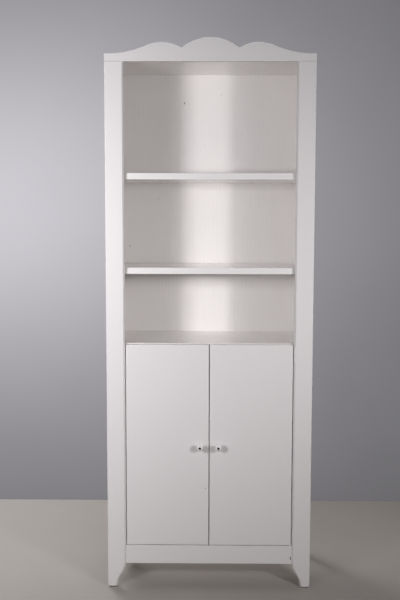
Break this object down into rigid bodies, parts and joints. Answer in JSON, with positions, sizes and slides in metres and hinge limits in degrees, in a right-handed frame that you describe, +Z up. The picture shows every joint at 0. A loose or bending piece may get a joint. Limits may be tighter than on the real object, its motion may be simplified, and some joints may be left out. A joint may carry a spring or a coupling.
{
  "type": "bookcase with cabinet doors",
  "caption": "Tall painted bookcase: open shelf bays over a cupboard with swinging doors, a scalloped crown board and ogee feet.",
  "frame": {"origin": "centre of the footprint, knobs included, on the floor under the glides", "axes": "+Z up, -Y towards the front with the doors, +X to the right seen from the front"},
  "size_m": [0.71, 0.3848, 1.897],
  "materials": {
    "white_paint": "smooth white paint, satin",
    "back_paint": "white painted fibreboard with fine upright grooves, matt",
    "knob_white": "turned and white lacquered, semi-gloss",
    "dark_screw": "dark oxide steel",
    "zinc_steel": "zinc plated, dull",
    "cast_zinc": "die cast, dull",
    "raw_wood": "bare planed wood",
    "glide_plastic": "dark moulded plastic",
    "white_plastic": "white moulded plastic",
    "soft_bumper": "soft translucent rubber",
    "magnet": "ground ferrite"
  },
  "bodies": {
    "carcass": {"left_side_panel": "white_paint", "right_side_panel": "white_paint", "left_front_stile": "white_paint", "right_front_stile": "white_paint", "crown_board": "white_paint", "top_panel": "white_paint", "fixed_shelf": "white_paint", "bottom_panel": "white_paint", "front_rail": "white_paint", "upper_shelf": "white_paint", "lower_shelf": "white_paint", "cupboard_shelf": "white_paint", "back_panel_upper": "back_paint", "back_panel_lower": "back_paint", "wooden_dowels": "raw_wood", "rail_cleat": "raw_wood", "cam_bolts": "zinc_steel", "back_nails": "zinc_steel", "wall_brackets": "zinc_steel", "wall_bracket_screws": "zinc_steel", "catch_screws": "zinc_steel", "upper_shelf_pins": "zinc_steel", "lower_shelf_pins": "zinc_steel", "cupboard_shelf_pins": "zinc_steel", "cam_locks": "cast_zinc", "floor_glides": "glide_plastic", "door_bumpers": "soft_bumper", "magnetic_catches": "white_plastic", "catch_magnets": "magnet", "left_hinge_frame_leaves": "zinc_steel", "left_hinge_pins": "zinc_steel", "left_hinge_frame_screws": "zinc_steel", "right_hinge_frame_leaves": "zinc_steel", "right_hinge_pins": "zinc_steel", "right_hinge_frame_screws": "zinc_steel"},
    "left_door": {"left_door": "white_paint", "left_knob": "knob_white", "left_knob_screw": "dark_screw", "left_hinge_door_leaves": "zinc_steel", "left_hinge_door_screws": "zinc_steel", "left_strike_plate": "zinc_steel", "left_strike_screws": "zinc_steel"},
    "right_door": {"right_door": "white_paint", "right_knob": "knob_white", "right_knob_screw": "dark_screw", "right_hinge_door_leaves": "zinc_steel", "right_hinge_door_screws": "zinc_steel", "right_strike_plate": "zinc_steel", "right_strike_screws": "zinc_steel"}
  },
  "joints": [
    {"name": "left_door_hinge", "type": "hinge", "parent": "carcass", "child": "left_door", "pos_m": [-0.2894, -0.1544, 0.509], "axis": [0, 0, -1], "range_deg": [0, 105]},
    {"name": "right_door_hinge", "type": "hinge", "parent": "carcass", "child": "right_door", "pos_m": [0.2894, -0.1544, 0.509], "axis": [0, 0, 1], "range_deg": [0, 105]}
  ]
}
